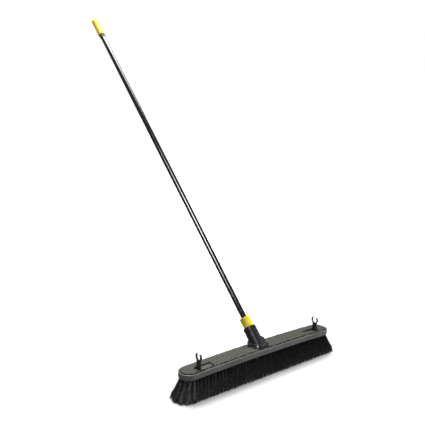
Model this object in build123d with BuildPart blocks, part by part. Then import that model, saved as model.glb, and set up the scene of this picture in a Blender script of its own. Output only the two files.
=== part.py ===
"""Push broom: a crowned resin block with stapled tufts, two fold-down storage clips and a steel
handle that a captive collar nut draws into an angled socket.

Frame, in millimetres: X runs along the block, +Y is the side the handle leans to, +Z is up.
The origin is on the floor, under the middle of the block.
"""
import os
from math import cos, radians, sin, sqrt

from build123d import *

# Block
block_length = 610
block_width = 68
block_top = 90
block_depth = 19.5
crown = 5.8
cover_depth = 4
rim_wall = 3
rim_groove = 3.5
rim_drop = 2.6
rib_drop = 0.5
rim_round = 1.4
skirt_round = 1
rib_pitch = 37
rib_width = 2.5
peg_radius = 2.5
peg_length = 4
peg_places = [(-180, 0), (-110, 0), (110, 0), (180, 0)]

# Tufts
row_pitch = 13
row_count = 5
columns_each_side = 20
hole_radius = 2.8
hole_depth = 9.5
root_radius = 2.7
root_length = 7.6
tuft_edge_inset = 5
side_flare = 10.5
end_flare = 24
bristle_gap = 0.4
staple_size = (4.6, 0.5, 1.3)

# Storage clips
clip_x = 246
clip_y = -11
clip_gauge = 6
clip_inner_radius = 9.75
clip_wall = 3.2
clip_centre_height = 36
clip_wrap_degrees = 48
clip_stem_width = 16
clip_clearance = 0.75
pin_radius = 1.5
pin_depth = 0.7
pin_length = 32.6
pocket_width = 26.6
pocket_inboard = 49
pocket_outboard = 15
lug_width = 3
lug_wall = 1.6

# Handle
handle_tilt = 43.9
handle_y = 5
tube_radius = 9.5
tube_wall = 0.9
tube_bottom = 36
tube_top = 1534
tip_bottom = 17
flange_radius = 12
flange_depth = 5
tip_plug_top = 62
rivet_radius = 1.6
rivet_height = 50
running_gap = 0.05
face_gap = 0.1

# Collar nut
collar_bottom = 62
collar_top = 96.5
collar_radius = 17
collar_ribs = 20
spigot_radius = 13
thread_pitch = 5.08
thread_depth = 1.1
ring_radius = 12
ring_depth = 1.2

# Socket
socket_radius = 21.3
socket_top = 61.6
pad_length = 62
pad_width = 54
pad_corner = 20
pad_depth = 3
step_length = 54
step_width = 46
step_depth = 6
gusset_depth = 6
screw_x = 19.5
screw_y = 6.5
screw_radius = 2.2
screw_head_radius = 4
screw_head_depth = 3
screw_reach = 7

# Grip
grip_bottom = 1443.8
grip_top = 1540
grip_radius = 13
grip_ring_bottom = 1429.5
grip_ring_radius = 11.3

# Worked-out places
crown_radius = (block_length / 2) ** 2 / (2 * crown) + crown / 2
block_underside = block_top - block_depth
cover_inset = rim_wall + rim_groove
cover_length = block_length - 2 * cover_inset
cover_width = block_width - 2 * cover_inset
end_centre = (block_length - block_width) / 2
bore_radius = spigot_radius + running_gap
tilt = radians(handle_tilt)
handle_plane = Plane(
    origin=(0, handle_y, block_top), x_dir=(1, 0, 0), z_dir=(0, sin(tilt), cos(tilt))
)
lengthwise_plane = Plane(
    origin=handle_plane.origin, x_dir=(1, 0, 0), z_dir=handle_plane.y_dir * -1
)

os.makedirs("parts", exist_ok=True)


def drop(x):
    """How far the crowned block has fallen below its middle at x."""
    return crown_radius - sqrt(crown_radius**2 - x**2)


def crowned_slab(length, width, top, bottom):
    """A stadium-shaped slab whose top and bottom follow the block's crown."""
    half = length / 2 + row_pitch
    fall = drop(half)
    with BuildPart() as slab:
        with BuildSketch(Plane.XZ):
            with BuildLine():
                ThreePointArc((-half, top - fall), (0, top), (half, top - fall))
                Line((half, top - fall), (half, bottom - fall))
                ThreePointArc((half, bottom - fall), (0, bottom), (-half, bottom - fall))
                Line((-half, bottom - fall), (-half, top - fall))
            make_face()
        extrude(amount=width / 2, both=True)
        with BuildSketch(Plane.XY):
            SlotOverall(length, width)
        extrude(amount=2 * block_top, mode=Mode.INTERSECT)
    return slab.part


def clip_pocket(side):
    """The window that a clip folds into: square inboard, round outboard, side is -1 or 1."""
    inboard = side * (clip_x - pocket_inboard)
    shoulder = side * (clip_x + pocket_outboard - pocket_width / 2)
    with BuildPart() as pocket:
        with BuildSketch(Plane.XY.offset(block_top - drop(clip_x) - 3 * cover_depth)):
            with Locations(((inboard + shoulder) / 2, clip_y)):
                Rectangle(abs(shoulder - inboard), pocket_width)
            with Locations((shoulder, clip_y)):
                Circle(pocket_width / 2)
        extrude(amount=6 * cover_depth)
    return pocket.part


def end_tufts():
    """Hole centres of one end fan: two arcs round the end's own centre."""
    places = [(end_centre, 0)]
    for radius, count in ((row_pitch, 5), (2 * row_pitch, 7)):
        for step in range(count):
            angle = radians(-90 + 180 * step / (count - 1))
            places.append((end_centre + radius * cos(angle), radius * sin(angle)))
    return places


row_ys = [row_pitch * (i - (row_count - 1) / 2) for i in range(row_count)]
column_xs = [row_pitch * i for i in range(-columns_each_side, columns_each_side + 1)]
tuft_rows = [[(x, y) for x in column_xs] for y in row_ys]
right_end_tufts = end_tufts()
left_end_tufts = [(-x, y) for x, y in right_end_tufts]
all_tufts = [place for row in tuft_rows for place in row] + right_end_tufts + left_end_tufts
screw_places = [(sx * screw_x, sy * screw_y) for sx in (-1, 1) for sy in (-1, 1)]


# ---------------------------------------------------------------- block
body_slab = crowned_slab(block_length, block_width, block_top - rim_drop, block_underside)
cover_seat = crowned_slab(
    block_length - 2 * rim_wall,
    block_width - 2 * rim_wall,
    block_top + 1,
    block_top - cover_depth,
)
rib_band = crowned_slab(
    block_length - rim_wall, block_width - rim_wall, block_top - rib_drop, block_top - cover_depth
)
rib_clear = crowned_slab(cover_length, cover_width, block_top + 1, block_top - cover_depth - 1)
rib_xs = [rib_pitch * i for i in range(-7, 8)]

with BuildPart() as rim_ribs:
    with BuildSketch(Plane.XY):
        with Locations(*[(x, 0) for x in rib_xs]):
            Rectangle(rib_width, block_width)
    extrude(amount=block_top)
    add(rib_band, mode=Mode.INTERSECT)
    add(rib_clear, mode=Mode.SUBTRACT)

with BuildPart() as block_body:
    add(body_slab)
    fillet(block_body.faces().sort_by(Axis.Z)[-1].edges(), radius=rim_round)
    fillet(block_body.faces().sort_by(Axis.Z)[0].edges(), radius=skirt_round)
    add(cover_seat, mode=Mode.SUBTRACT)
    add(rim_ribs.part)
    with Locations(*[(x, y, block_underside - drop(x) + hole_depth) for x, y in all_tufts]):
        Cylinder(
            hole_radius,
            2 * hole_depth,
            align=(Align.CENTER, Align.CENTER, Align.MAX),
            mode=Mode.SUBTRACT,
        )
    with Locations(*[(x, y, block_underside) for x, y in screw_places]):
        Cylinder(screw_radius + 0.2, 2 * block_depth, mode=Mode.SUBTRACT)
        Cylinder(screw_head_radius + 0.3, 2 * screw_head_depth + 1, mode=Mode.SUBTRACT)
    with Locations(*[(x, y, block_top - drop(x) - cover_depth) for x, y in peg_places]):
        Cylinder(peg_radius + 0.1, 2 * (peg_length + 0.3), mode=Mode.SUBTRACT)
block_body.part.label = "block_body"
export_step(block_body.part, "parts/block_body.step")

hinge_height = block_top - drop(clip_x) - pin_depth
cover_slab = crowned_slab(cover_length, cover_width, block_top, block_top - cover_depth)
cover_pockets = [clip_pocket(side) for side in (-1, 1)]
lug_length = 2 * (pin_radius + lug_wall)
lug_y = (pocket_width + lug_width) / 2
lug_places = [(side * clip_x, clip_y + end * lug_y) for side in (-1, 1) for end in (-1, 1)]

with BuildPart() as top_cover:
    add(cover_slab)
    top_rim = top_cover.faces().sort_by(Axis.Z)[-1].edges()
    chamfer(top_rim, length=0.8)
    for pocket in cover_pockets:
        add(pocket, mode=Mode.SUBTRACT)
    with Locations(*[(x, y, block_top) for x, y in screw_places]):
        Cylinder(screw_radius + 0.2, 4 * cover_depth, mode=Mode.SUBTRACT)
    with Locations(*[(x, y, block_top - drop(x) - cover_depth / 2) for x, y in peg_places]):
        Cylinder(
            peg_radius,
            peg_length + cover_depth / 2,
            align=(Align.CENTER, Align.CENTER, Align.MAX),
        )
    with Locations(*[(x, y, hinge_height) for x, y in lug_places]):
        Box(
            lug_length,
            lug_width,
            cover_depth - pin_depth - 0.5,
            align=(Align.CENTER, Align.CENTER, Align.MAX),
        )
    with Locations(*[Location((x, y, hinge_height), (90, 0, 0)) for x, y in lug_places]):
        Cylinder(lug_length / 2, lug_width)
        Cylinder(pin_radius, lug_width + 0.2, mode=Mode.SUBTRACT)
top_cover.part.label = "top_cover"
export_step(top_cover.part, "parts/top_cover.step")


# ---------------------------------------------------------------- bristles
envelope_top = block_underside + 2
top_outline = (block_length - 2 * tuft_edge_inset, block_width - 2 * tuft_edge_inset)
floor_outline = (block_length + 2 * end_flare, block_width + 2 * side_flare)
top_bounds = [-top_outline[1], -19.5, -6.5, 6.5, 19.5, top_outline[1]]
floor_bounds = [-floor_outline[1], -26, -8.7, 8.7, 26, floor_outline[1]]
row_end_top = 265.5
row_end_floor = 274

with BuildPart() as envelope:
    with BuildSketch(Plane.XY):
        SlotOverall(*floor_outline)
    with BuildSketch(Plane.XY.offset(envelope_top)):
        SlotOverall(*top_outline)
    loft(ruled=True)
    add(
        crowned_slab(2 * block_length, 2 * block_width, block_underside - 0.3, -block_top),
        mode=Mode.INTERSECT,
    )

row_names = ["tufts_front", "tufts_front_inner", "tufts_centre", "tufts_back_inner", "tufts_back"]
for index, name in enumerate(row_names):
    half_gap = bristle_gap / 2
    floor_low = floor_bounds[index] + half_gap
    floor_high = floor_bounds[index + 1] - half_gap
    top_low = top_bounds[index] + half_gap
    top_high = top_bounds[index + 1] - half_gap
    with BuildPart() as row:
        with BuildSketch(Plane.XY):
            with Locations((0, (floor_low + floor_high) / 2)):
                Rectangle(2 * row_end_floor, floor_high - floor_low)
        with BuildSketch(Plane.XY.offset(envelope_top)):
            with Locations((0, (top_low + top_high) / 2)):
                Rectangle(2 * row_end_top, top_high - top_low)
        loft(ruled=True)
        add(envelope.part, mode=Mode.INTERSECT)
        with Locations(*[(x, y, block_underside - drop(x) + root_length) for x, y in tuft_rows[index]]):
            Cylinder(root_radius, root_length + 4, align=(Align.CENTER, Align.CENTER, Align.MAX))
    row.part.label = name
    export_step(row.part, f"parts/{name}.step")

with BuildPart() as end_splitter:
    with BuildSketch(Plane.XY):
        Rectangle(2 * (row_end_floor + bristle_gap), 4 * block_width)
    with BuildSketch(Plane.XY.offset(envelope_top)):
        Rectangle(2 * (row_end_top + bristle_gap), 4 * block_width)
    loft(ruled=True)

for side, name, tufts in ((-1, "tufts_left_end", left_end_tufts), (1, "tufts_right_end", right_end_tufts)):
    with BuildPart() as end_fan:
        add(envelope.part)
        add(end_splitter.part, mode=Mode.SUBTRACT)
        with BuildSketch(Plane.XY.offset(-1)):
            with Locations((side * block_length, 0)):
                Rectangle(2 * block_length, 4 * block_width)
        extrude(amount=2 * block_top, mode=Mode.INTERSECT)
        with Locations(*[(x, y, block_underside - drop(x) + root_length) for x, y in tufts]):
            Cylinder(root_radius, root_length + 4, align=(Align.CENTER, Align.CENTER, Align.MAX))
    end_fan.part.label = name
    export_step(end_fan.part, f"parts/{name}.step")

staple_height = root_length + (hole_depth - root_length) / 2
with BuildPart() as tuft_staples:
    with Locations(*[(x, y, block_underside - drop(x) + staple_height) for x, y in all_tufts]):
        Box(*staple_size)
tuft_staples.part.label = "tuft_staples"
export_step(tuft_staples.part, "parts/tuft_staples.step")


# ---------------------------------------------------------------- storage clips
clip_outer_radius = clip_inner_radius + clip_wall
tip_radius = clip_wall / 2
mouth = radians(clip_wrap_degrees)
foot_radius = clip_gauge / 2

for side, name in ((-1, "left"), (1, "right")):
    clip_plane = Plane(origin=(side * clip_x, clip_y, hinge_height), x_dir=(0, 1, 0), z_dir=(1, 0, 0))
    with BuildPart() as clip:
        with BuildSketch(clip_plane):
            with Locations((0, clip_centre_height)):
                Circle(clip_outer_radius)
                Circle(clip_inner_radius, mode=Mode.SUBTRACT)
            with BuildLine():
                reach = 2 * clip_outer_radius
                Polyline(
                    (0, clip_centre_height),
                    (reach * cos(mouth), clip_centre_height + reach * sin(mouth)),
                    (-reach * cos(mouth), clip_centre_height + reach * sin(mouth)),
                    (0, clip_centre_height),
                )
            make_face(mode=Mode.SUBTRACT)
            lip_radius = clip_inner_radius + tip_radius
            with Locations(
                (lip_radius * cos(mouth), clip_centre_height + lip_radius * sin(mouth)),
                (-lip_radius * cos(mouth), clip_centre_height + lip_radius * sin(mouth)),
            ):
                Circle(tip_radius)
            stem_top = clip_centre_height - clip_inner_radius - clip_wall / 2
            with Locations((0, stem_top / 2)):
                Rectangle(clip_stem_width, stem_top)
        extrude(amount=clip_gauge / 2, both=True)
        with Locations(Location((side * clip_x, clip_y, hinge_height), (90, 0, 0))):
            Cylinder(foot_radius, pocket_width - 2 * clip_clearance)
            Cylinder(pin_radius + running_gap, pocket_width, mode=Mode.SUBTRACT)
    clip.part.label = f"clip_{name}"
    export_step(clip.part, f"parts/clip_{name}.step")

    with BuildPart() as pin:
        with Locations(Location((side * clip_x, clip_y, hinge_height), (90, 0, 0))):
            Cylinder(pin_radius, pin_length - 0.2)
    pin.part.label = f"clip_pin_{name}"
    export_step(pin.part, f"parts/clip_pin_{name}.step")


# ---------------------------------------------------------------- socket
with BuildPart() as handle_socket:
    with BuildSketch(handle_plane.offset(socket_top)):
        Circle(socket_radius)
    extrude(amount=-(socket_top + 2 * socket_radius))
    chamfer(handle_socket.edges().sort_by(Axis.Z)[-1], length=1)
    with BuildSketch(Plane.XY.offset(block_top)):
        RectangleRounded(pad_length, pad_width, pad_corner)
    extrude(amount=pad_depth, taper=12)
    with BuildSketch(Plane.XY.offset(block_top + pad_depth)):
        RectangleRounded(step_length, step_width, pad_corner)
    extrude(amount=step_depth, taper=20)
    for side in (-1, 1):
        with BuildSketch(lengthwise_plane):
            with BuildLine():
                Polyline(
                    (side * 16, 0),
                    (side * 36, 4),
                    (side * 34, 17),
                    (side * 19, 30),
                    (side * 16, 30),
                    (side * 16, 0),
                )
            make_face()
        extrude(amount=gusset_depth / 2, both=True)
    split(bisect_by=Plane.XY.offset(block_top), keep=Keep.TOP)
    with BuildSketch(lengthwise_plane):
        with BuildLine():
            Polyline(
                (0, tip_bottom - 0.5),
                (8.3, tip_bottom - 0.5),
                (11.3, tube_bottom - flange_depth - 1),
                (flange_radius + 0.3, tube_bottom - flange_depth - 1),
                (flange_radius + 0.3, tube_bottom - 0.5),
                (bore_radius, tube_bottom - 0.5),
                (bore_radius, socket_top + 1),
                (0, socket_top + 1),
                (0, tip_bottom - 0.5),
            )
        make_face()
    revolve(axis=Axis(handle_plane.origin, handle_plane.z_dir), mode=Mode.SUBTRACT)
    with Locations(*[(x, y, block_top) for x, y in screw_places]):
        Cylinder(screw_radius, 2 * screw_reach + 1, mode=Mode.SUBTRACT)
handle_socket.part.label = "handle_socket"
export_step(handle_socket.part, "parts/handle_socket.step")

screw_bottom = block_underside + 0.3
with BuildPart() as socket_screws:
    with Locations(*[(x, y, screw_bottom) for x, y in screw_places]):
        Cylinder(
            screw_head_radius,
            screw_head_depth,
            align=(Align.CENTER, Align.CENTER, Align.MIN),
        )
        Cylinder(
            screw_radius - running_gap,
            block_top + screw_reach - screw_bottom,
            align=(Align.CENTER, Align.CENTER, Align.MIN),
        )
        Box(5, 1, 2, mode=Mode.SUBTRACT)
        Box(1, 5, 2, mode=Mode.SUBTRACT)
socket_screws.part.label = "socket_screws"
export_step(socket_screws.part, "parts/socket_screws.step")


# ---------------------------------------------------------------- handle
with BuildPart() as handle_tube:
    with BuildSketch(handle_plane.offset(tube_bottom)):
        Circle(tube_radius)
        Circle(tube_radius - tube_wall, mode=Mode.SUBTRACT)
    extrude(amount=tube_top - tube_bottom)
    with BuildSketch(Plane(handle_plane.offset(rivet_height).origin, x_dir=(0, 1, 0), z_dir=(1, 0, 0))):
        Circle(rivet_radius)
    extrude(amount=2 * tube_radius, both=True, mode=Mode.SUBTRACT)
handle_tube.part.label = "handle_tube"
export_step(handle_tube.part, "parts/handle_tube.step")

with BuildPart() as handle_tip:
    with BuildSketch(lengthwise_plane):
        with BuildLine():
            Polyline(
                (0, tip_bottom),
                (7, tip_bottom),
                (8, tip_bottom + 1.5),
                (10.8, tube_bottom - flange_depth),
                (flange_radius, tube_bottom - flange_depth),
                (flange_radius, tube_bottom),
                (tube_radius - tube_wall, tube_bottom),
                (tube_radius - tube_wall, tip_plug_top),
                (0, tip_plug_top),
                (0, tip_bottom),
            )
        make_face()
    revolve(axis=Axis(handle_plane.origin, handle_plane.z_dir))
    with BuildSketch(Plane(handle_plane.offset(rivet_height).origin, x_dir=(0, 1, 0), z_dir=(1, 0, 0))):
        Circle(rivet_radius)
    extrude(amount=2 * tube_radius, both=True, mode=Mode.SUBTRACT)
handle_tip.part.label = "handle_tip"
export_step(handle_tip.part, "parts/handle_tip.step")

with BuildPart() as tip_rivet:
    with BuildSketch(Plane(handle_plane.offset(rivet_height).origin, x_dir=(0, 1, 0), z_dir=(1, 0, 0))):
        Circle(rivet_radius)
    extrude(amount=tube_radius - 0.2, both=True)
tip_rivet.part.label = "tip_rivet"
export_step(tip_rivet.part, "parts/tip_rivet.step")

spigot_bottom = tube_bottom + face_gap
counterbore = collar_top - ring_depth - 1.2
thread_count = int((collar_bottom - spigot_bottom - 2) / thread_pitch)
with BuildPart() as locking_collar:
    with BuildSketch(handle_plane.offset(collar_bottom)):
        Circle(collar_radius)
        with PolarLocations(collar_radius + 0.5, collar_ribs):
            Circle(1.1, mode=Mode.SUBTRACT)
    extrude(amount=collar_top - collar_bottom)
    with BuildSketch(lengthwise_plane):
        with BuildLine():
            Polyline(
                (collar_radius - 1.4, collar_top + 1),
                (collar_radius + 2, collar_top + 1),
                (collar_radius + 2, collar_top - 3),
                (collar_radius - 1.4, collar_top + 1),
            )
        make_face()
    revolve(axis=Axis(handle_plane.origin, handle_plane.z_dir), mode=Mode.SUBTRACT)
    with BuildSketch(handle_plane.offset(spigot_bottom)):
        Circle(spigot_radius)
    extrude(amount=collar_bottom - spigot_bottom)
    with BuildSketch(lengthwise_plane):
        for turn in range(thread_count):
            root = spigot_bottom + 2 + turn * thread_pitch
            with BuildLine():
                Polyline(
                    (spigot_radius + 1, root - 0.6),
                    (spigot_radius - thread_depth, root + 0.8),
                    (spigot_radius - thread_depth, root + 2.2),
                    (spigot_radius + 1, root + 3.6),
                    (spigot_radius + 1, root - 0.6),
                )
            make_face()
    revolve(axis=Axis(handle_plane.origin, handle_plane.z_dir), mode=Mode.SUBTRACT)
    with BuildSketch(handle_plane.offset(spigot_bottom - 1)):
        Circle(tube_radius + running_gap)
    extrude(amount=collar_top, mode=Mode.SUBTRACT)
    with BuildSketch(handle_plane.offset(counterbore)):
        Circle(ring_radius + 0.3)
    extrude(amount=collar_top, mode=Mode.SUBTRACT)
locking_collar.part.label = "locking_collar"
export_step(locking_collar.part, "parts/locking_collar.step")

with BuildPart() as collar_ring:
    with BuildSketch(handle_plane.offset(counterbore + face_gap)):
        Circle(ring_radius)
        Circle(tube_radius, mode=Mode.SUBTRACT)
    extrude(amount=ring_depth)
collar_ring.part.label = "collar_ring"
export_step(collar_ring.part, "parts/collar_ring.step")


# ---------------------------------------------------------------- grip
with BuildPart() as hand_grip:
    with BuildSketch(lengthwise_plane):
        with BuildLine():
            Polyline(
                (tube_radius, grip_bottom),
                (grip_radius - 0.4, grip_bottom),
                (grip_radius + 0.3, grip_bottom + 1),
                (grip_radius + 0.3, grip_bottom + 6),
                (grip_radius - 0.9, grip_bottom + 7),
                (grip_radius - 0.9, grip_bottom + 8.5),
                (grip_radius - 0.1, grip_bottom + 9.5),
                (grip_radius, grip_top - grip_radius),
            )
            RadiusArc((grip_radius, grip_top - grip_radius), (0, grip_top), -grip_radius)
            Polyline(
                (0, grip_top),
                (0, tube_top),
                (tube_radius, tube_top),
                (tube_radius, grip_bottom),
            )
        make_face()
    revolve(axis=Axis(handle_plane.origin, handle_plane.z_dir))
hand_grip.part.label = "hand_grip"
export_step(hand_grip.part, "parts/hand_grip.step")

with BuildPart() as grip_ring:
    with BuildSketch(handle_plane.offset(grip_ring_bottom)):
        Circle(grip_ring_radius)
    extrude(amount=grip_bottom - grip_ring_bottom)
    chamfer(grip_ring.edges().sort_by(Axis.Z)[0], length=1)
    with BuildSketch(handle_plane.offset(grip_ring_bottom)):
        Circle(tube_radius)
    extrude(amount=grip_bottom - grip_ring_bottom, mode=Mode.SUBTRACT)
grip_ring.part.label = "grip_ring"
export_step(grip_ring.part, "parts/grip_ring.step")
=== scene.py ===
"""Looks for the push broom: materials for the CAD nodes, real bristle fibres, studio and camera."""
import math

import bpy
import numpy as np
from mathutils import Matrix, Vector


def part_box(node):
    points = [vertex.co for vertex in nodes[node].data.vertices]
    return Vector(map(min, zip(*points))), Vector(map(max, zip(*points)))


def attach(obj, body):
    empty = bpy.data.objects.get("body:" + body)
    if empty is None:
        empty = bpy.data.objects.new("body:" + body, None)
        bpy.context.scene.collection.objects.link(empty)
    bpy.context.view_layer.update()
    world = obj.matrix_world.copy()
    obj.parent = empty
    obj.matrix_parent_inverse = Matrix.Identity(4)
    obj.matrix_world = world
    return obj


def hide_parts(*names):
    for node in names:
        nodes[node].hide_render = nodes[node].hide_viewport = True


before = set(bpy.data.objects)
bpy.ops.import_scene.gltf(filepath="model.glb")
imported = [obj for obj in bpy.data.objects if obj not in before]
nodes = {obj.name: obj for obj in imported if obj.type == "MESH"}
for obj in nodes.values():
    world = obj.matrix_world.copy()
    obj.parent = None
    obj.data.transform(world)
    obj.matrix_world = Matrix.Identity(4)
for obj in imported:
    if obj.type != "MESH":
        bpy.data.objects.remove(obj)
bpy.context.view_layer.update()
scene = bpy.context.scene
rng = np.random.default_rng(24)

MM = 0.001

# Bristle field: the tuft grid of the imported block
ROW_PITCH = 13 * MM
COLUMNS_EACH_SIDE = 20
END_CENTRE = 271 * MM
END_ARCS = ((ROW_PITCH, 5), (2 * ROW_PITCH, 7))
CROWN = 5.8 * MM
ROOT_DEPTH = 5 * MM
HOLE_RADIUS = 2.4 * MM

# Fibres: how many stand in a tuft, one fibre's shape, and how far a tuft spreads on the floor
OUTER_ROW_FIBRES = 56
INNER_ROW_FIBRES = 38
END_FAN_FIBRES = 105
FIBRE_RADIUS = 0.52 * MM
FIBRE_TAPER = 0.35
FIBRE_RINGS = 15
CORNERS = 3
IN_HOLE = 0.07  # the share of a fibre that its hole keeps straight
BEND_POWER = 1.12
BOW = 1.6 * MM
CRIMP = 0.8 * MM
CRIMP_TURNS = 5.6
PHASE_SPREAD = 0.8
ROOT_TO_TIP = 0.8  # how much of a root's place in its hole shows at the tip
TIP_SPREAD = 8.5 * MM
SIDE_INSET = 0.6  # shares of that spread by which the outer tufts' aims stay inside the trim
ROW_END_INSET = 0.5
END_TIP_SPREAD = 10.5 * MM
FLOOR_GAP = 0.3 * MM
RAGGED = 6.5 * MM
SOFT_MARGIN = 2 * MM

# Places on the block and the cover that their finishes follow
BLOCK_HALF_LENGTH = 305 * MM
BLOCK_TOP = 90 * MM
GROOVE_REACH = 31.2 * MM
# Near-black painted shade for the groove between cover and rim and for the cover's upright cut
# edges
PAINTED_GROOVE_SHADE = (0.006, 0.006, 0.006)
SUNK_LEVEL = -2.9 * MM
CUT_EDGE_SLOPE = 0.4
POCKET_X = 229 * MM
POCKET_HALF_LENGTH = 32 * MM
POCKET_Y = -11 * MM
POCKET_HALF_WIDTH = 13.3 * MM


# ---------------------------------------------------------------- shader helpers
class Shader:
    """One node material, with short calls for the nodes that the finishes share."""

    def __init__(self, name, colour, roughness, **sockets):
        self.material = bpy.data.materials.new(name)
        self.material.use_nodes = True
        self.tree = self.material.node_tree
        self.surface = self.tree.nodes["Principled BSDF"]
        self.surface.inputs["Base Color"].default_value = (*colour, 1)
        self.surface.inputs["Roughness"].default_value = roughness
        for socket, value in sockets.items():
            self.surface.inputs[socket.replace("_", " ")].default_value = value
        self.place = self.tree.nodes.new("ShaderNodeTexCoord").outputs["Object"]
        self.height = None

    def node(self, kind, **inputs):
        made = self.tree.nodes.new(kind)
        for socket, value in inputs.items():
            made.inputs[socket.replace("_", " ")].default_value = value
        return made

    def link(self, source, target):
        self.tree.links.new(source, target)

    def noise(self, scale, detail=4, stretch=None):
        made = self.node("ShaderNodeTexNoise", Scale=scale, Detail=detail)
        self.link(self.stretched(stretch), made.inputs["Vector"])
        return made.outputs["Fac"]

    def cells(self, scale):
        made = self.node("ShaderNodeTexVoronoi", Scale=scale)
        self.link(self.place, made.inputs["Vector"])
        return made.outputs["Distance"]

    def stretched(self, stretch):
        if stretch is None:
            return self.place
        made = self.tree.nodes.new("ShaderNodeMapping")
        made.inputs["Scale"].default_value = stretch
        self.link(self.place, made.inputs["Vector"])
        return made.outputs["Vector"]

    def ramp(self, value, stops):
        made = self.tree.nodes.new("ShaderNodeValToRGB")
        points = made.color_ramp.elements
        while len(points) < len(stops):
            points.new(0.5)
        for point, (at, colour) in zip(points, stops):
            point.position = at
            point.color = (*colour, 1)
        self.link(value, made.inputs["Fac"])
        return made.outputs["Color"]

    def remap(self, value, start, stop, low, high):
        """The value's run from start to stop, spread from low to high."""
        made = self.node(
            "ShaderNodeMapRange", From_Min=start, From_Max=stop, To_Min=low, To_Max=high
        )
        self.link(value, made.inputs["Value"])
        return made.outputs["Result"]

    def span(self, noise, low, high):
        """A noise, which runs from about 0.3 to 0.7, spread from low to high."""
        return self.remap(noise, 0.3, 0.7, low, high)

    def calc(self, operation, *values):
        """A maths node on numbers or on other nodes' outputs."""
        made = self.tree.nodes.new("ShaderNodeMath")
        made.operation = operation
        for socket, value in zip(made.inputs, values):
            if isinstance(value, (int, float)):
                socket.default_value = value
            else:
                self.link(value, socket)
        return made.outputs["Value"]

    def times(self, first, second):
        return self.calc("MULTIPLY", first, second)

    def length(self, x, y):
        return self.calc("SQRT", self.calc("ADD", self.times(x, x), self.times(y, y)))

    def near(self, value, centre, reach):
        """1 where the value is within reach of the centre, and 0 elsewhere."""
        away = self.calc("ABSOLUTE", self.calc("SUBTRACT", value, centre))
        return self.calc("LESS_THAN", away, reach)

    def axes(self, vector=None):
        made = self.tree.nodes.new("ShaderNodeSeparateXYZ")
        self.link(self.place if vector is None else vector, made.inputs["Vector"])
        return made.outputs["X"], made.outputs["Y"], made.outputs["Z"]

    def blend(self, amount, first, second):
        made = self.tree.nodes.new("ShaderNodeMix")
        made.data_type = "RGBA"
        self.link(amount, made.inputs["Factor"])
        for socket, value in ((made.inputs[6], first), (made.inputs[7], second)):
            if isinstance(value, tuple):
                socket.default_value = (*value, 1)
            else:
                self.link(value, socket)
        return made.outputs[2]

    def colour(self, value):
        self.link(value, self.surface.inputs["Base Color"])

    def roughness(self, value):
        self.link(value, self.surface.inputs["Roughness"])

    def bump(self, value, distance, strength=1.0):
        """Adds one layer of relief; later calls lie on top of earlier ones."""
        made = self.node("ShaderNodeBump", Strength=strength, Distance=distance)
        self.link(value, made.inputs["Height"])
        if self.height is not None:
            self.link(self.height, made.inputs["Normal"])
        self.height = made.outputs["Normal"]
        self.link(self.height, self.surface.inputs["Normal"])


# ---------------------------------------------------------------- finishes
def olive_resin(s):
    """The cover's cloudy olive-grey."""
    return s.ramp(
        s.noise(170, 10),
        [
            (0.34, (0.018, 0.018, 0.013)),
            (0.5, (0.042, 0.041, 0.031)),
            (0.68, (0.092, 0.089, 0.068)),
        ],
    )


def cover_grain_and_painted_shade():
    """Matt olive-grey resin with a fine pebbled grain; its upright cut edges carry painted
    near-black shade, as if down in the shaded groove.
    """
    s = Shader("cover_resin_painted_shade", (0.15, 0.145, 0.12), 0.62)
    s.surface.inputs["Specular IOR Level"].default_value = 0.3
    facing = s.tree.nodes.new("ShaderNodeNewGeometry")
    rise = s.axes(facing.outputs["True Normal"])[2]
    # Upright faces get painted near-black shade, standing in for the shaded groove
    upright_shade_mask = s.calc("LESS_THAN", rise, CUT_EDGE_SLOPE)
    s.colour(s.blend(upright_shade_mask, olive_resin(s), PAINTED_GROOVE_SHADE))
    s.roughness(s.span(s.noise(150, 3), 0.52, 0.74))
    s.bump(s.noise(90, 6), 0.5 * MM)
    s.bump(s.cells(900), 0.12 * MM)
    return s.material


def block_skin_and_painted_shade():
    """Smooth grey resin skin; painted near-black shade down in the groove, and the cover's olive
    where a clip folds down.
    """
    s = Shader("block_resin_painted_shade", (0.115, 0.118, 0.115), 0.4)
    flow = s.noise(14, 5, (1, 6, 6))
    skin = s.ramp(flow, [(0.3, (0.080, 0.082, 0.082)), (0.7, (0.135, 0.137, 0.134))])
    x, y, z = s.axes()
    along = s.calc("ABSOLUTE", x)
    past = s.calc("MAXIMUM", s.calc("SUBTRACT", along, END_CENTRE), 0.0)
    inside = s.calc("LESS_THAN", s.length(past, y), GROOVE_REACH)
    fall = s.times(s.calc("POWER", s.calc("DIVIDE", along, BLOCK_HALF_LENGTH), 2.0), CROWN)
    level = s.calc("SUBTRACT", s.calc("ADD", z, fall), BLOCK_TOP)
    sunk = s.times(inside, s.calc("LESS_THAN", level, SUNK_LEVEL))
    in_length = s.near(along, POCKET_X, POCKET_HALF_LENGTH)
    in_width = s.near(y, POCKET_Y, POCKET_HALF_WIDTH)
    pocket = s.times(s.times(in_length, in_width), sunk)
    # Painted near-black shade fills the sunk groove; the clip pockets take the cover's olive
    s.colour(s.blend(pocket, s.blend(sunk, skin, PAINTED_GROOVE_SHADE), olive_resin(s)))
    s.roughness(s.span(s.noise(120, 3), 0.34, 0.5))
    s.bump(s.noise(260, 4), 0.08 * MM)
    return s.material


def black_gloss(name, roughness, grain):
    """Polished black plastic with slight mould waviness."""
    s = Shader(name, (0.012, 0.012, 0.013), roughness)
    s.colour(s.ramp(s.noise(60, 4), [(0.3, (0.004, 0.004, 0.005)), (0.7, (0.012, 0.012, 0.013))]))
    s.roughness(s.span(s.noise(200, 3), roughness * 0.8, roughness * 1.35))
    s.bump(s.noise(grain, 3), 0.05 * MM)
    return s.material


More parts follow.
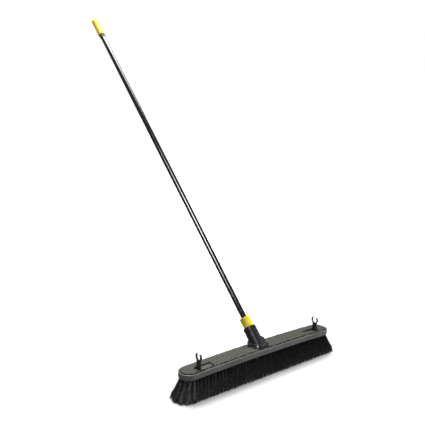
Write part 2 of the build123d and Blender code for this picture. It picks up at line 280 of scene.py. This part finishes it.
def powder_coat():
    """Black powder coat: orange peel over the steel tube, with a few dull rubs."""
    s = Shader("powder_coat", (0.006, 0.006, 0.007), 0.2, Coat_Weight=0.4, Coat_Roughness=0.08)
    s.colour(s.ramp(s.noise(45, 6), [(0.3, (0.003, 0.003, 0.004)), (0.75, (0.008, 0.008, 0.009))]))
    s.roughness(s.span(s.noise(28, 6), 0.08, 0.16))
    s.bump(s.cells(700), 0.003 * MM)
    return s.material


def yellow_plastic():
    """Glossy yellow moulding with a soft tone drift and light handling scuffs."""
    scatter = {"Subsurface_Weight": 0.06, "Subsurface_Scale": 3 * MM}
    s = Shader("yellow_plastic", (0.93, 0.68, 0.004), 0.36, **scatter)
    s.surface.inputs["Specular IOR Level"].default_value = 0.3
    tones = [(0.3, (0.90, 0.62, 0.001)), (0.55, (0.98, 0.74, 0.002)), (0.8, (1.0, 0.82, 0.004))]
    s.colour(s.ramp(s.noise(30, 5), tones))
    s.roughness(s.span(s.noise(170, 5), 0.26, 0.45))
    s.bump(s.noise(420, 3), 0.04 * MM)
    return s.material


def soft_black():
    """Black rubbery plastic with a matt skin."""
    s = Shader("soft_black", (0.014, 0.014, 0.015), 0.6)
    s.colour(s.ramp(s.noise(80, 4), [(0.3, (0.010, 0.010, 0.011)), (0.7, (0.024, 0.024, 0.025))]))
    s.bump(s.noise(600, 3), 0.06 * MM)
    return s.material


def plain_steel():
    """Zinc-plated steel with fine drawing lines."""
    s = Shader("plain_steel", (0.55, 0.56, 0.58), 0.3, Metallic=1.0)
    drawn = s.noise(90, 5, (1, 1, 12))
    s.colour(s.ramp(drawn, [(0.3, (0.42, 0.43, 0.45)), (0.7, (0.66, 0.67, 0.69))]))
    s.roughness(s.span(s.noise(300, 3), 0.22, 0.42))
    s.bump(s.noise(700, 2), 0.02 * MM)
    return s.material


def fibre_finish():
    """Black crimped fibre: near black at the root, dustier and paler at the flagged tips."""
    s = Shader("bristle_fibre", (0.012, 0.012, 0.013), 0.24)
    tips = s.remap(s.axes()[2], 0.0, 30 * MM, 0.62, 0.0)
    dust = s.times(tips, s.noise(260, 3, (1, 1, 0.15)))
    s.colour(s.ramp(dust, [(0.0, (0.007, 0.007, 0.008)), (0.45, (0.060, 0.060, 0.059))]))
    s.roughness(s.span(s.noise(400, 2), 0.18, 0.4))
    s.bump(s.noise(1500, 2), 0.03 * MM)
    return s.material


def dress_cad():
    """Gives every carried-over CAD node its finish."""
    steel, yellow, soft = plain_steel(), yellow_plastic(), soft_black()
    clip_black = black_gloss("clip_black", 0.36, 500)
    finishes = {
        "block_body": block_skin_and_painted_shade(),
        "top_cover": cover_grain_and_painted_shade(),
        "handle_socket": black_gloss("socket_black", 0.24, 350),
        "clip_left": clip_black,
        "clip_right": clip_black,
        "handle_tube": powder_coat(),
        "locking_collar": yellow,
        "hand_grip": yellow,
        "grip_ring": soft,
        "handle_tip": soft,
    }
    for name, node in nodes.items():
        finish = finishes.get(name, steel)
        node.data.materials.clear()
        node.data.materials.append(finish)


# ---------------------------------------------------------------- bristles
body_low, body_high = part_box("block_body")
underside = body_low.z + CROWN
front_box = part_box("tufts_front")
centre_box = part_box("tufts_centre")
end_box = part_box("tufts_right_end")
floor_half_width = -front_box[0].y
floor_end = end_box[1].x
row_floor_end = centre_box[1].x
floor_end_centre = floor_end - floor_half_width


def fallen(x):
    """How far the crowned block has dropped below its middle at x."""
    return CROWN * (x / body_high.x) ** 2


def end_places(side):
    """Tufts of one end fan: arcs round the end's own centre."""
    places = [(0.0, 0.0)]
    for radius, count in END_ARCS:
        for angle in np.linspace(-math.pi / 2, math.pi / 2, count):
            places.append((radius * math.cos(angle), radius * math.sin(angle)))
    return [(side * (END_CENTRE + x), y) for x, y in places]


def row_places(index):
    y = (index - 2) * ROW_PITCH
    return [(ROW_PITCH * i, y) for i in range(-COLUMNS_EACH_SIDE, COLUMNS_EACH_SIDE + 1)]


def splayed(x, y):
    """Where on the floor a tuft at x, y points."""
    widen = (floor_half_width - TIP_SPREAD * SIDE_INSET) / (2 * ROW_PITCH)
    if abs(x) < END_CENTRE:
        row_half_length = COLUMNS_EACH_SIDE * ROW_PITCH
        return x * (row_floor_end - TIP_SPREAD * ROW_END_INSET) / row_half_length, y * widen
    side = math.copysign(1, x)
    return side * floor_end_centre + (x - side * END_CENTRE) * widen, y * widen


def fibres(name, places, per_tuft, spread):
    """All the fibres of one row or fan as one mesh of closed, crimped three-sided prisms."""
    count = len(places) * per_tuft
    roots = np.repeat(np.array(places), per_tuft, axis=0)
    aims = np.repeat(np.array([splayed(*p) for p in places]), per_tuft, axis=0)

    def disc(radius):
        angle = rng.uniform(0, 2 * math.pi, count)
        reach = radius * np.sqrt(rng.uniform(0, 1, count))
        return np.stack([reach * np.cos(angle), reach * np.sin(angle)], 1)

    start = roots + disc(HOLE_RADIUS)
    end = aims + disc(spread) + (start - roots) * ROOT_TO_TIP
    top = underside - fallen(roots[:, 0]) + ROOT_DEPTH
    low = rng.uniform(0, 1, count) ** 2 * RAGGED + FLOOR_GAP
    tuft_phase = np.repeat(rng.uniform(0, 2 * math.pi, len(places)), per_tuft)
    phase = tuft_phase + rng.normal(0, PHASE_SPREAD, count)
    crimp_way = rng.uniform(0, math.pi, count)
    bow = rng.normal(0, BOW, (count, 2))
    rings = []
    for t in np.linspace(0, 1, FIBRE_RINGS):
        below = max(0.0, (t - IN_HOLE) / (1 - IN_HOLE))
        bend = below**BEND_POWER
        line = start + (end - start) * bend + bow * (4 * t * (1 - t)) * below
        wave = CRIMP * below**0.5 * np.sin(phase + CRIMP_TURNS * 2 * math.pi * t)
        line = line + np.stack([wave * np.cos(crimp_way), wave * np.sin(crimp_way)], 1)
        z = top + (low - top) * t
        radius = FIBRE_RADIUS * (1 - FIBRE_TAPER * t)
        for corner in range(CORNERS):
            turn = phase + corner * 2 * math.pi / CORNERS
            x = line[:, 0] + radius * np.cos(turn)
            y = line[:, 1] + radius * np.sin(turn)
            rings.append(np.stack([x, y, z], 1))
    points = np.stack(rings, 1).reshape(-1, 3)
    inside_x, inside_y = floor_end + SOFT_MARGIN, floor_half_width + SOFT_MARGIN
    points[:, 0] = np.clip(points[:, 0], -inside_x, inside_x)
    points[:, 1] = np.clip(points[:, 1], -inside_y, inside_y)
    quads = []
    for ring in range(FIBRE_RINGS - 1):
        for corner in range(CORNERS):
            a, b = CORNERS * ring + corner, CORNERS * ring + (corner + 1) % CORNERS
            quads.append([a, b, b + CORNERS, a + CORNERS])
    first = CORNERS * FIBRE_RINGS * np.arange(count)
    sides = (np.array(quads)[None] + first[:, None, None]).reshape(-1, 4)
    last = CORNERS * (FIBRE_RINGS - 1)
    caps = np.array([[0, 2, 1], [last, last + 1, last + 2]])
    ends = (caps[None] + first[:, None, None]).reshape(-1, 3)
    mesh = bpy.data.meshes.new(name)
    mesh.vertices.add(len(points))
    mesh.vertices.foreach_set("co", points.ravel())
    loops = np.concatenate([sides.ravel(), ends.ravel()])
    mesh.loops.add(len(loops))
    mesh.loops.foreach_set("vertex_index", loops)
    side_starts = 4 * np.arange(len(sides))
    end_starts = 4 * len(sides) + CORNERS * np.arange(len(ends))
    starts = np.concatenate([side_starts, end_starts])
    mesh.polygons.add(len(starts))
    mesh.polygons.foreach_set("loop_start", starts)
    mesh.update(calc_edges=True)
    mesh.polygons.foreach_set("use_smooth", np.ones(len(starts), bool))
    piece = bpy.data.objects.new(name, mesh)
    scene.collection.objects.link(piece)
    return piece


def make_bristles():
    finish = fibre_finish()
    rows = ["tufts_front", "tufts_front_inner", "tufts_centre", "tufts_back_inner", "tufts_back"]
    outer = ("tufts_front", "tufts_back")
    jobs = []
    for i, node in enumerate(rows):
        per_tuft = OUTER_ROW_FIBRES if node in outer else INNER_ROW_FIBRES
        jobs.append((node, row_places(i), per_tuft, TIP_SPREAD))
    for side, node in ((-1, "tufts_left_end"), (1, "tufts_right_end")):
        jobs.append((node, end_places(side), END_FAN_FIBRES, END_TIP_SPREAD))
    for node, places, per_tuft, spread in jobs:
        piece = fibres(node.replace("tufts", "fibres"), places, per_tuft, spread)
        piece.data.materials.append(finish)
        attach(piece, "head")
        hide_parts(node)


# ---------------------------------------------------------------- studio
CAMERA_AZIMUTH = math.radians(-37.54)
CAMERA_ELEVATION = math.radians(10.55)
CAMERA_DISTANCE = 1.6899
CAMERA_TARGET = Vector((-0.1868, 0.0, 0.5423))
CAMERA_LENS = 49.95
SENSOR_WIDTH = 36
VIEW_END = 100

FLOOR_SIZE = 60
PAPER_SEEN = (0.93, 0.93, 0.93)
PAPER_AS_LIGHT = (0.2, 0.2, 0.2)
GLOW_START = 0.45
GLOW_FULL = 1.6
WORLD_AS_LIGHT = 0.24

# Each softbox: name, place, aim, size, watts, and whether only reflections show it
SOFTBOXES = (
    ("overhead", (0.4, 1.35, 2.8), (0, 0.1, 0), (2.0, 1.6), 135, False),
    ("front_right", (2.3, -2.2, 1.5), (0, 0, 0.06), (1.5, 1.2), 88, False),
    ("tube_streak", (-1.35, -0.3, 2.42), (0, 0.35, 0.45), (0.8, 1.2), 80, True),
    ("bristle_glint", (-1.7, -1.8, 1.1), (-0.2, 0, 0.04), (0.5, 0.5), 52, True),
)


def studio_floor():
    """White paper that takes shadow near the broom and burns out to plain white further off."""
    bpy.ops.mesh.primitive_plane_add(size=FLOOR_SIZE)
    floor = bpy.context.object
    floor.name = "studio_floor"
    paper = Shader("studio_paper", (0.9, 0.9, 0.9), 0.95, Emission_Color=(1, 1, 1, 1))
    paper.surface.inputs["Specular IOR Level"].default_value = 0.0
    path = paper.tree.nodes.new("ShaderNodeLightPath").outputs["Is Camera Ray"]
    paper.colour(paper.blend(path, PAPER_AS_LIGHT, PAPER_SEEN))
    x, y, _ = paper.axes()
    glow = paper.remap(paper.length(x, y), GLOW_START, GLOW_FULL, 0.0, 1.0)
    paper.link(paper.times(glow, path), paper.surface.inputs["Emission Strength"])
    floor.data.materials.append(paper.material)


def studio_world():
    """White to the eye, dimmer as light and in reflections, so that black stays black."""
    world = bpy.data.worlds.new("studio")
    scene.world = world
    world.use_nodes = True
    tree = world.node_tree
    sky = tree.nodes["Background"]
    sky.inputs["Color"].default_value = (1, 1, 1, 1)
    path = tree.nodes.new("ShaderNodeLightPath")
    dim = tree.nodes.new("ShaderNodeMapRange")
    dim.inputs["To Min"].default_value = WORLD_AS_LIGHT
    dim.inputs["To Max"].default_value = 1.0
    tree.links.new(path.outputs["Is Camera Ray"], dim.inputs["Value"])
    tree.links.new(dim.outputs["Result"], sky.inputs["Strength"])


def softbox(name, place, aim, size, power, glossy_only):
    light = bpy.data.lights.new(name, "AREA")
    light.shape = "RECTANGLE"
    light.size, light.size_y = size
    light.energy = power
    lamp = bpy.data.objects.new(name, light)
    lamp.location = place
    lamp.visible_diffuse = not glossy_only
    lamp.rotation_euler = (Vector(aim) - Vector(place)).to_track_quat("-Z", "Y").to_euler()
    scene.collection.objects.link(lamp)


def studio_lights():
    for lamp in SOFTBOXES:
        softbox(*lamp)


def studio_camera():
    back = Vector(
        (
            math.sin(CAMERA_AZIMUTH) * math.cos(CAMERA_ELEVATION),
            -math.cos(CAMERA_AZIMUTH) * math.cos(CAMERA_ELEVATION),
            math.sin(CAMERA_ELEVATION),
        )
    )
    data = bpy.data.cameras.new("camera")
    data.lens = CAMERA_LENS
    data.sensor_width = SENSOR_WIDTH
    data.clip_end = VIEW_END
    camera = bpy.data.objects.new("camera", data)
    camera.location = CAMERA_TARGET + back * CAMERA_DISTANCE
    camera.rotation_mode = "QUATERNION"
    camera.rotation_quaternion = (-back).to_track_quat("-Z", "Y")
    scene.collection.objects.link(camera)
    scene.camera = camera


dress_cad()
make_bristles()
studio_floor()
studio_world()
studio_lights()
studio_camera()
scene.view_settings.view_transform = "Standard"

bpy.context.view_layer.update()
